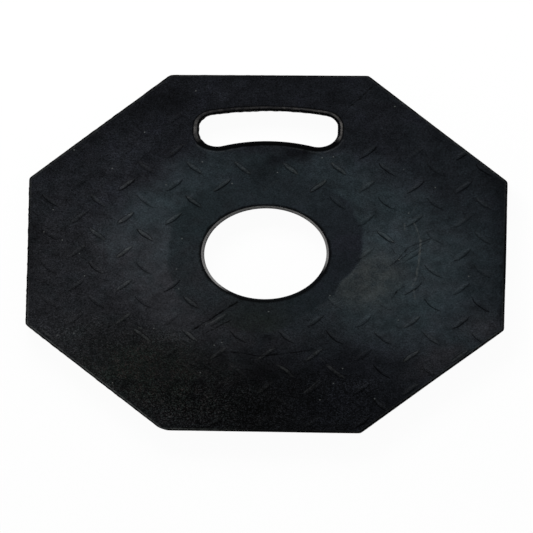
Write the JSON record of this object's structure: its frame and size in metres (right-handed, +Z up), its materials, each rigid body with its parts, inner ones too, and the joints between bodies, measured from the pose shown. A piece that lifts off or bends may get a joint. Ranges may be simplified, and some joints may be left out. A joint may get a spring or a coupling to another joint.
{
  "type": "delineator base",
  "caption": "Octagonal moulded rubber base for a road delineator post, with a round centre hole for the post, a curved hand slot by one edge and a raised bar tread.",
  "frame": {"origin": "middle of the underside, on the axis of the post hole", "axes": "+Z up along the post hole, +Y towards the hand slot, +X to the right when the slot is at the top"},
  "size_m": [0.406, 0.406, 0.0261],
  "materials": {
    "rubber": "matt moulded recycled rubber, near black, with a faint blue-green sheen, scuffs and pale crumbs"
  },
  "bodies": {
    "root": {"rubber_base": "rubber"}
  },
  "joints": []
}
